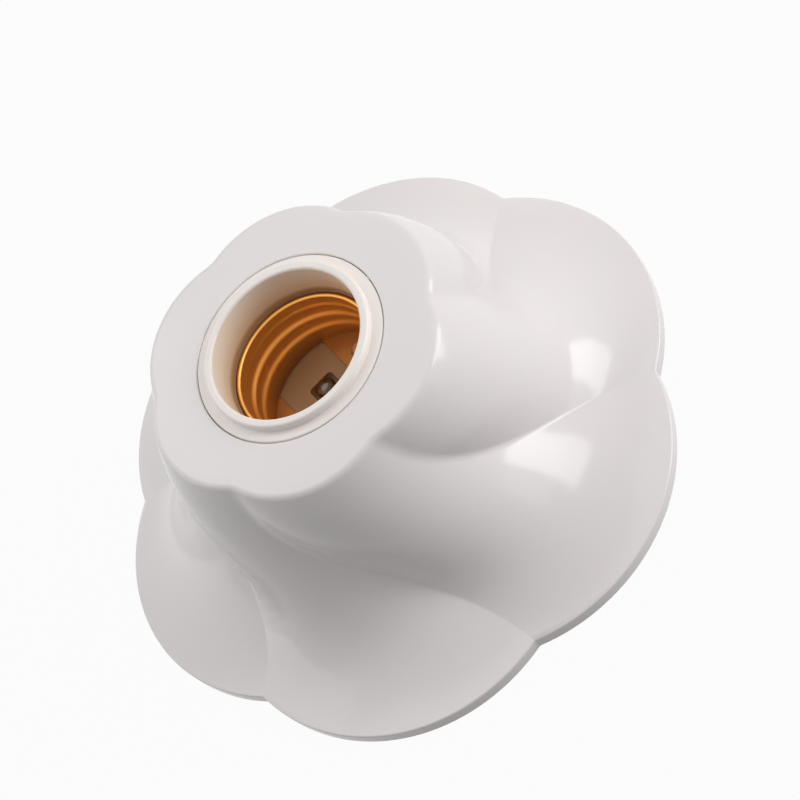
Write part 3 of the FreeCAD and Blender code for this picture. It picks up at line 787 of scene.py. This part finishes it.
@dataclass
class PetalCover:
    """Moulded cover with six petals that swirl up into a round collar."""

    heights: Controls = (2.5, 6.2, 22.6, 41.5)
    valleys: Controls = (53.0, 25.5, 36.2, 26.9)
    petals: Controls = (4.75, 4.5, 3.3, 1.8)
    blends: Controls = (0.5, 1.0, 3.0, 7.0)
    swirls: Controls = (0.0, 6.4, 45.2, 54.8)
    petal_angle: float = 23.2
    wall: float = 2.0
    rim_land: float = 2.6
    rim_round: float = 0.35
    collar_round: float = 1.5
    collar_thickness: float = 3.2
    mouth_radius: float = 18.15
    mouth_round: float = 0.2
    boss_place: float = 22.6
    boss_radius: float = 3.2
    boss_bore: float = 1.55
    boss_foot: float = 29.5
    boss_depth: float = 8.0
    boss_sink: float = 0.05
    boss_countersink: float = 0.3
    boss_edge: float = 0.2
    hook_angle: float = 8.3
    hook_span: float = 10.0
    hook_inner: float = 35.3
    hook_outer: float = 37.5
    hook_toe: float = 31.0
    hook_foot: float = 0.8
    hook_step: float = 2.6
    hook_sink: float = 0.5
    hook_round: float = 0.15
    hook_crease: float = 1.0
    hooks: int = 3
    skin_rows: int = 96
    inner_rows: int = 40
    round_rows: int = 8
    boss_steps: int = 48
    hook_steps: int = 6

    @property
    def ridges(self) -> Controls:
        """Control sizes of the petals' ridges."""
        return tuple(valley + petal for valley, petal in zip(self.valleys, self.petals))

    def outline(self, station: float, inset: float = 0.0) -> Outline:
        """Outline of the skin at one station.

        Args:
            station: Place along the skin, 0 at the rim and 1 at the collar.
            inset: Distance inside the outer skin.

        Returns:
            The outline there.
        """
        rise = bezier_slope(self.heights, station)
        run = bezier_slope(self.valleys, station)
        length = math.hypot(rise, run)
        step_in, step_down = -rise / length * inset, run / length * inset
        return Outline(
            bezier(self.ridges, station) + step_in,
            bezier(self.valleys, station) + step_in,
            bezier(self.blends, station) + inset,
            bezier(self.heights, station) + step_down,
            math.radians(self.petal_angle - bezier(self.swirls, station)),
        )

    def lean(self, station: float) -> float:
        """Lean of the skin from upright at one station, in radians."""
        run, rise = bezier_slope(self.valleys, station), bezier_slope(self.heights, station)
        return math.atan2(-run, rise)

    def rounded(self, base: Outline, radius: float, start: float, end: float) -> list[Ring]:
        """Rings of a rounding that turns the skin inwards from one lean to another.

        Args:
            base: Outline at which the rounding starts.
            radius: Radius of the rounding.
            start: Lean of the wall where it starts, in radians from upright.
            end: Lean where it ends.

        Returns:
            The rings after the first one.
        """
        rings = []
        for step in range(1, self.round_rows + 1):
            lean = start + (end - start) * step / self.round_rows
            inset = radius * (math.cos(start) - math.cos(lean))
            height = base.height + radius * (math.sin(lean) - math.sin(start))
            rings.append(base.at(height, inset).ring())
        return rings

    @staticmethod
    def circle_under(ring: Ring, radius: float, height: float) -> Ring:
        """Circle at a height whose points face those of another ring."""
        flat = [Vector((point.x, point.y, 0)).normalized() * radius for point in ring]
        return [point + UP * height for point in flat]

    def skin_rings(self) -> list[Ring]:
        """Rings from the rim's foot over the outside, through the mouth and down the inside.

        Returns:
            All the rings, the last equal to the first.
        """
        face = self.heights[3]
        slope, lean = self.lean(0.0), self.lean(1.0)
        foot = self.outline(0.0).at(0.0)
        shoulder = foot.at(self.heights[0] - self.rim_round * math.tan(slope / 2))
        rings = [foot.ring(), shoulder.ring()]
        rings += self.rounded(shoulder, self.rim_round, 0.0, slope)
        drop = self.collar_round * math.tan((math.pi / 2 - lean) / 2)
        rim_end = self.valleys[0] - self.rim_round
        first = station_where(lambda s: bezier(self.valleys, s), rim_end)
        last = station_where(lambda s: bezier(self.heights, s), face - drop * math.cos(lean))
        for row in range(self.skin_rows + 1):
            rings.append(self.outline(first + (last - first) * (row / self.skin_rows)).ring())
        edge = self.rounded(self.outline(last), self.collar_round, lean, math.pi / 2)
        rings += edge
        mouth = self.circle_under(edge[-1], self.mouth_radius + self.mouth_round, face)
        rings.append([a.lerp(b, 0.5) for a, b in zip(edge[-1], mouth)])
        rings.append(mouth)
        under = face - self.collar_thickness
        rings.append(self.circle_under(mouth, self.mouth_radius, face - self.mouth_round))
        rings.append(self.circle_under(mouth, self.mouth_radius, under))
        return rings + self.inner_rings(under, foot)

    def inner_rings(self, ceiling: float, foot: Outline) -> list[Ring]:
        """Rings of the inside, from the ceiling down to the rim's foot.

        Args:
            ceiling: Height of the collar's underside.
            foot: Outline of the rim's foot, which closes the skin.

        Returns:
            The rings in order.
        """
        start = station_where(
            lambda s: self.outline(s, self.wall).valley, self.valleys[0] - self.rim_land
        )
        end = station_where(lambda s: self.outline(s, self.wall).height, ceiling)
        rows = [end + (start - end) * row / self.inner_rows for row in range(self.inner_rows + 1)]
        inside = [self.outline(station, self.wall) for station in rows]
        return [outline.ring() for outline in (*inside, inside[-1].at(0.0), foot)]

    def build_skin(self) -> bmesh.types.BMesh:
        """Closed skin of the cover."""
        bm = draw_rings(self.skin_rings())
        weld(bm, reach=0.0005)
        return bm

    def build_bosses(self) -> bmesh.types.BMesh:
        """Two posts under the collar with blind holes for the core's screws."""
        ceiling = self.heights[3] - self.collar_thickness + self.boss_sink
        foot, bore, radius = self.boss_foot, self.boss_bore, self.boss_radius
        top = foot + self.boss_depth
        bm = bmesh.new()
        for side in (1, -1):
            post = draw_chain(
                [
                    (0.0, top),
                    (bore, top),
                    (bore, foot + self.boss_countersink),
                    (bore + self.boss_countersink, foot),
                    (radius - self.boss_edge, foot),
                    (radius, foot + self.boss_edge),
                    (radius, ceiling),
                ]
            )
            spin(post, self.boss_steps, merge=True)
            bmesh.ops.translate(post, vec=(0, side * self.boss_place, 0), verts=post.verts[:])
            join(bm, post)
        weld(bm)
        return bm

    def build_hooks(self) -> bmesh.types.BMesh:
        """Three hooks that hang from the skin and reach in under the plate's rim."""
        bm = bmesh.new()
        half = math.radians(self.hook_span) / 2
        for number in range(self.hooks):
            way = math.radians(self.hook_angle) + math.tau * number / self.hooks
            station = station_where(
                lambda s: min(self.outline(s).reach(way + lean) for lean in (-half, 0, half)),
                self.hook_outer,
            )
            root = bezier(self.heights, station) - self.hook_sink
            hook = draw_chain(
                [
                    (self.hook_toe, self.hook_foot),
                    (self.hook_outer, self.hook_foot),
                    (self.hook_outer, root),
                    (self.hook_inner, root),
                    (self.hook_inner, self.hook_step),
                    (self.hook_toe, self.hook_step),
                ],
                closed=True,
            )
            bmesh.ops.contextual_create(hook, geom=hook.edges[:])
            turn = Matrix.Rotation(way - half, 3, "Z")
            bmesh.ops.rotate(hook, cent=CENTRE, matrix=turn, verts=hook.verts[:])
            spin(hook, self.hook_steps, 2 * half)
            cap_open(hook)
            join(bm, hook)
        weld(bm)
        soften(bm, creases(bm, self.hook_crease), self.hook_round, segments=2)
        return bm

    def dress(self, finish: bpy.types.Material) -> None:
        """Build the cover's pieces and set them on the front.

        Args:
            finish: Glossy moulded plastic.
        """
        for name, bm in (
            ("petal_cover", self.build_skin()),
            ("collar_bosses", self.build_bosses()),
            ("lock_hooks", self.build_hooks()),
        ):
            piece = finish_piece(bm, name, finish)
            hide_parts("flower_cover")
            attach(piece, Body.FRONT.value)


def join(target: bmesh.types.BMesh, source: bmesh.types.BMesh) -> None:
    """Add one mesh to another and free it.

    Args:
        target: Mesh that grows.
        source: Mesh that is added.
    """
    carrier = bpy.data.meshes.new("carrier")
    source.to_mesh(carrier)
    source.free()
    target.from_mesh(carrier)
    bpy.data.meshes.remove(carrier)


def creases(bm: bmesh.types.BMesh, angle: float) -> list[bmesh.types.BMEdge]:
    """Edges at which two faces meet at more than an angle, in radians."""
    return [e for e in bm.edges if e.is_manifold and e.calc_face_angle() > angle]


def cap_open(bm: bmesh.types.BMesh) -> None:
    """Close every open loop of the mesh with a face."""
    rims = [edge for edge in bm.edges if edge.is_boundary]
    if rims:
        bmesh.ops.holes_fill(bm, edges=rims, sides=0)


# ------ screw shell


@dataclass
class ScrewShell:
    """Thin brass shell with a rolled round thread, a curled rim and a slotted foot."""

    groove_radius: float = 13.4
    depth: float = 0.62
    crest_sharpness: float = 2.2
    sheet: float = 0.3
    pitch: float = 3.62
    rim: float = 35.05
    curl: float = 0.42
    foot: float = 20.5
    foot_sheet: float = 0.4
    thread_low: float = 22.8
    thread_high: float = 32.7
    crest_height: float = 32.55
    crest_way: float = 92.0
    runout: float = 0.45
    slot_near: float = 4.5
    slot_far: float = -8.0
    slot_round: float = 0.12
    spare_turns: int = 1
    rows_per_turn: int = 18
    curl_steps: int = 14
    steps: int = 120

    def build_thread(self) -> bmesh.types.BMesh:
        """Threaded sheet: one profile spun up the helix, trimmed level and given its sheet.

        Returns:
            The closed sheet.
        """
        turns = math.ceil((self.thread_high - self.thread_low) / self.pitch) + 2 * self.spare_turns
        below = math.ceil((self.crest_height - self.thread_low) / self.pitch + self.spare_turns)
        base = self.crest_height - below * self.pitch
        points = []
        for row in range(turns * self.rows_per_turn + 1):
            wave = 0.5 + 0.5 * math.cos(math.tau * row / self.rows_per_turn)
            height = base + self.pitch * row / self.rows_per_turn
            points.append((self.groove_radius - self.depth * wave**self.crest_sharpness, height))
        bm = draw_chain(points)
        start = Matrix.Rotation(math.radians(self.crest_way), 3, "Z")
        bmesh.ops.rotate(bm, cent=CENTRE, matrix=start, verts=bm.verts[:])
        spin(bm, self.steps, climb=self.pitch / self.steps)
        bmesh.ops.remove_doubles(bm, verts=bm.verts[:], dist=TOUCH)
        for height, side in ((self.thread_low, -1), (self.thread_high, 1)):
            trim(bm, (0, 0, height), (0, 0, side), outer=True)
        self.fade_ends(bm)
        self.extend(bm, self.thread_high, self.rim - self.curl)
        self.extend(bm, self.thread_low, self.foot + self.foot_sheet / 2)
        bmesh.ops.recalc_face_normals(bm, faces=bm.faces[:])
        level = Vector((1, 1, 0))
        outward = sum(face.normal.dot(face.calc_center_median() * level) for face in bm.faces)
        bmesh.ops.solidify(bm, geom=bm.faces[:], thickness=math.copysign(self.sheet, -outward))
        bmesh.ops.recalc_face_normals(bm, faces=bm.faces[:])
        return bm

    def fade_ends(self, bm: bmesh.types.BMesh) -> None:
        """Run the thread out into the plain wall near both ends.

        Args:
            bm: Threaded wall, one sheet thick.
        """
        length = self.pitch * self.runout
        for vert in bm.verts:
            room = min(vert.co.z - self.thread_low, self.thread_high - vert.co.z)
            share = max(0.0, min(1.0, room / length))
            share = share * share * (3 - 2 * share)
            radius = math.hypot(vert.co.x, vert.co.y)
            scale = (self.groove_radius + (radius - self.groove_radius) * share) / radius
            vert.co.x *= scale
            vert.co.y *= scale

    def extend(self, bm: bmesh.types.BMesh, edge_height: float, height: float) -> None:
        """Carry an open edge on as a plain wall.

        Args:
            bm: Wall to extend.
            edge_height: Height of the open edge.
            height: Height to carry it to.
        """
        rims = [
            edge
            for edge in bm.edges
            if edge.is_boundary and all(abs(v.co.z - edge_height) < TOUCH for v in edge.verts)
        ]
        for vert in points_of(bmesh.ops.extrude_edge_only(bm, edges=rims)["geom"]):
            vert.co.z = height

    def build_rim(self) -> bmesh.types.BMesh:
        """Curled bead round the top of the shell."""
        middle = self.groove_radius + self.sheet / 2
        top = self.rim - self.curl
        angles = [math.tau * step / self.curl_steps for step in range(self.curl_steps)]
        bm = draw_chain(
            [(middle + self.curl * math.cos(a), top + self.curl * math.sin(a)) for a in angles],
            closed=True,
        )
        spin(bm, self.steps, merge=True)
        weld(bm)
        return bm

    def build_foot(self) -> bmesh.types.BMesh:
        """Two segments of the bottom flange, one each side of the contact's opening."""
        bm = bmesh.new()
        radius = self.groove_radius + self.sheet / 2
        halfway = self.foot + self.foot_sheet / 2
        for edge, side in ((self.slot_near, 1), (self.slot_far, -1)):
            disc = bmesh.new()
            bmesh.ops.create_circle(disc, cap_ends=True, segments=self.steps, radius=radius)
            trim(disc, (edge, 0, 0), (side, 0, 0), outer=False)
            tops = points_of(bmesh.ops.extrude_face_region(disc, geom=disc.faces[:])["geom"])
            bmesh.ops.translate(disc, vec=(0, 0, self.foot_sheet), verts=tops)
            bmesh.ops.translate(disc, vec=(0, 0, self.foot), verts=disc.verts[:])
            bmesh.ops.recalc_face_normals(disc, faces=disc.faces[:])
            sheared = [
                e
                for e in disc.edges
                if all(abs(v.co.x - edge) < TOUCH and v.co.z > halfway for v in e.verts)
            ]
            soften(disc, sheared, self.slot_round, segments=3)
            join(bm, disc)
        return bm

    def dress(self, finish: bpy.types.Material) -> None:
        """Build the shell's pieces and set them on the front.

        Args:
            finish: Rolled brass.
        """
        for name, bm in (
            ("rolled_thread", self.build_thread()),
            ("shell_rim_curl", self.build_rim()),
            ("shell_flange", self.build_foot()),
        ):
            piece = finish_piece(bm, name, finish, SHEET_CREASE)
            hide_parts("screw_shell")
            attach(piece, Body.FRONT.value)


# ------ centre contact


@dataclass
class CentreContact:
    """Sprung strip with a domed button on its free end."""

    middle: float = -0.8
    width: float = 5.3
    sheet: float = 0.4
    heel: float = -11.2
    bend: float = -5.6
    knee: float = -1.2
    tip: float = 3.2
    foot: float = 20.5
    lift: float = 4.1
    fold_round: float = 1.1
    corner_round: float = 0.7
    edge_round: float = 0.06
    edge_crease: float = 1.2
    hinge_before: float = 0.6
    hinge_after: float = 0.4
    button_place: float = 0.9
    button_radius: float = 1.9
    button_edge: float = 0.3
    button_dome: float = 1.0
    button_brim: float = 0.08
    button_steps: int = 48
    dome_steps: int = 10
    tail_radius: float = 1.3
    tail_round: float = 0.15
    tail: float = 0.6

    def build_leaf(self) -> bmesh.types.BMesh:
        """Strip laid out flat, folded twice and given its sheet.

        Returns:
            The closed strip.
        """
        crest = self.foot + self.lift
        half = self.width / 2
        bm = bmesh.new()
        ends = [bm.verts.new((self.middle + x, self.heel, self.foot)) for x in (-half, half)]
        edges = [bm.edges.new(ends)]
        folds = []
        for y, z in ((self.bend, self.foot), (self.knee, crest), (self.tip, crest)):
            verts = points_of(bmesh.ops.extrude_edge_only(bm, edges=edges)["geom"])
            for vert in verts:
                vert.co.y, vert.co.z = y, z
            edges = [e for e in bm.edges if set(e.verts) == set(verts)]
            folds += edges
        soften(bm, folds[:2], self.fold_round, segments=6)
        corners = [
            v for v in bm.verts if min(abs(v.co.y - y) for y in (self.tip, self.heel)) < TOUCH
        ]
        soften(bm, corners, self.corner_round, segments=4, kind=Rounded.CORNERS)
        bmesh.ops.recalc_face_normals(bm, faces=bm.faces[:])
        upward = sum(face.normal.z for face in bm.faces) > 0
        bmesh.ops.solidify(bm, geom=bm.faces[:], thickness=-self.sheet if upward else self.sheet)
        bmesh.ops.recalc_face_normals(bm, faces=bm.faces[:])
        soften(bm, creases(bm, self.edge_crease), self.edge_round, segments=2)
        return bm

    def build_button(self) -> bmesh.types.BMesh:
        """Domed button with its stem spread under the strip."""
        end = self.foot + self.lift - self.tail
        seat = self.foot + self.lift + self.sheet
        chain = [
            (0.0, end),
            (self.tail_radius - self.tail_round, end),
            (self.tail_radius, end + self.tail_round),
            (self.tail_radius, seat),
            (self.button_radius - self.button_brim, seat),
            (self.button_radius, seat + self.button_brim),
        ]
        for step in range(self.dome_steps):
            angle = math.pi / 2 * step / self.dome_steps
            rise = self.button_edge + self.button_dome * math.sin(angle)
            chain.append((self.button_radius * math.cos(angle), seat + rise))
        chain.append((0.0, seat + self.button_edge + self.button_dome))
        bm = draw_chain(chain)
        spin(bm, self.button_steps, merge=True)
        bmesh.ops.translate(bm, vec=(self.middle, self.button_place, 0), verts=bm.verts[:])
        weld(bm)
        return bm

    def dress(self, strip: bpy.types.Material, button: bpy.types.Material) -> None:
        """Build both pieces; the button is set on its body and the strip stays where it is drawn.

        Args:
            strip: Finish of the spring strip.
            button: Finish of the button.
        """
        folded = self.build_leaf()
        leaf = finish_piece(folded, "contact_strip", strip, SHEET_CREASE)
        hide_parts("contact_leaf")
        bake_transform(leaf)
        dome = finish_piece(self.build_button(), "contact_dome", button)
        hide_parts("contact_button")
        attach(dome, Body.CONTACT.value)


# ------ carried-over nodes


@dataclass
class Hardware:
    """Nodes whose shape is right as it is: core, plate, terminals, rivets and screws."""

    finishes: dict[str, tuple[str, ...]]

    def dress(self, materials: dict[str, bpy.types.Material]) -> None:
        """Give each node its finish.

        Args:
            materials: Materials by the name of their finish.
        """
        for finish, nodes in self.finishes.items():
            for node in nodes:
                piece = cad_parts[node]
                piece.data.materials.clear()
                piece.data.materials.append(materials[finish])
                LOG.info("%s: carried over in %s", node, finish)


# ------ studio


def look(place: Place, aim: Place) -> Quaternion:
    """Turn that makes a lamp or camera at one place look at another."""
    return (Vector(aim) - Vector(place)).to_track_quat("-Z", "Y")


@dataclass
class Softbox:
    """Rectangular lamp that looks at the object."""

    name: str
    place: Place
    size: Span
    power: float
    aim: Place = (0.0, 0.0, 0.018)

    def hang(self) -> None:
        """Put the lamp in the scene."""
        light = bpy.data.lights.new(self.name, "AREA")
        light.shape = "RECTANGLE"
        light.size, light.size_y = self.size
        light.energy = self.power
        lamp = enter(self.name, light)
        lamp.location = self.place
        lamp.rotation_euler = look(self.place, self.aim).to_euler()


@dataclass
class Studio:
    """Pale floor, soft boxes, even sky and the camera."""

    softboxes: tuple[Softbox, ...]
    sky: float
    floor_size: float
    floor_colour: Colour
    camera_place: Place
    camera_aim: Place
    camera_roll: float
    lens: float
    floor_drop: float = 0.0002
    floor_roughness: float = 0.9
    floor_white: float = 0.96
    sensor: float = 36.0
    clip: Span = (0.01, 20.0)

    def build_floor(self) -> None:
        """Large pale floor that keeps a soft shadow."""
        bm = bmesh.new()
        bmesh.ops.create_grid(bm, x_segments=4, y_segments=4, size=self.floor_size / 2)
        bmesh.ops.translate(bm, vec=(0, 0, -self.floor_drop), verts=bm.verts[:])
        mesh = bpy.data.meshes.new("studio_floor")
        bm.to_mesh(mesh)
        bm.free()
        material = bpy.data.materials.new("floor_paper")
        sheet = NodeSheet(material)
        surface = sheet.tree.nodes["Principled BSDF"]
        surface.inputs["Base Color"].default_value = (*self.floor_colour, 1.0)
        surface.inputs["Roughness"].default_value = self.floor_roughness
        glow = sheet.add("ShaderNodeEmission")
        glow.inputs["Strength"].default_value = 1.0
        share = sheet.combine(Combine.PRODUCT, sheet.seen(), self.floor_white)
        sheet.show("Material Output", share, surface, glow)
        mesh.materials.append(material)
        enter("studio_floor", mesh)

    def build_sky(self) -> None:
        """Even light all round, and white behind the object."""
        world = bpy.data.worlds.new("sky")
        bpy.context.scene.world = world
        sheet = NodeSheet(world)
        even, white = sheet.tree.nodes["Background"], sheet.add("ShaderNodeBackground")
        for light, strength in ((even, self.sky), (white, 1.0)):
            light.inputs["Color"].default_value = (1.0, 1.0, 1.0, 1.0)
            light.inputs["Strength"].default_value = strength
        sheet.show("World Output", sheet.seen(), even, white)

    def build_camera(self) -> None:
        """Camera that looks down at the holder from its front, rolled on its view axis."""
        data = bpy.data.cameras.new("view")
        data.lens = self.lens
        data.sensor_width = self.sensor
        data.clip_start, data.clip_end = self.clip
        camera = enter("view", data)
        camera.location = self.camera_place
        camera.rotation_mode = "QUATERNION"
        roll = Quaternion(UP, math.radians(self.camera_roll))
        camera.rotation_quaternion = look(self.camera_place, self.camera_aim) @ roll
        bpy.context.scene.camera = camera

    def build(self) -> None:
        """Set up floor, sky, lamps and camera."""
        self.build_floor()
        self.build_sky()
        for softbox in self.softboxes:
            softbox.hang()
        self.build_camera()
        bpy.context.scene.view_settings.view_transform = "Standard"


def main() -> None:
    """Dress the lamp holder and set up its studio."""
    logging.basicConfig(level=logging.INFO, format="%(name)s: %(message)s")
    finishes = (COVER, CORE, PLATE, SHELL, BRONZE, BUTTON, TERMINAL, RIVET, STEEL)
    materials = {finish.name: finish.material() for finish in finishes}
    PetalCover().dress(materials[COVER.name])
    ScrewShell().dress(materials[SHELL.name])
    CentreContact().dress(materials[BRONZE.name], materials[BUTTON.name])
    Hardware(
        {
            CORE.name: ("socket_core",),
            PLATE.name: ("mounting_plate",),
            TERMINAL.name: ("live_terminal", "neutral_terminal"),
            RIVET.name: ("contact_rivet", "shell_rivet_1", "shell_rivet_2"),
            STEEL.name: (
                "live_terminal_screw",
                "live_clamp_washer",
                "neutral_terminal_screw",
                "neutral_clamp_washer",
                "core_screw_1",
                "core_screw_2",
            ),
        }
    ).dress(materials)
    Studio(
        softboxes=(
            Softbox("key", (0.420, -0.144, 0.184), (0.23, 0.52), 1.35),
            Softbox("high_back", (0.0, 0.275, 0.494), (0.50, 0.50), 0.78),
            Softbox("left_back", (-0.337, 0.337, 0.293), (0.60, 0.60), 0.88),
            Softbox("low_right", (0.469, -0.271, 0.114), (0.50, 0.50), 0.60),
        ),
        sky=0.30,
        floor_size=4.0,
        floor_colour=(0.30, 0.30, 0.30),
        camera_place=(0.0069183, -0.2258726, 0.3062706),
        camera_aim=(0.0069183, -0.0074119, 0.018),
        camera_roll=-45.456,
        lens=91.13,
    ).build()


if __name__ == "__main__":
    main()
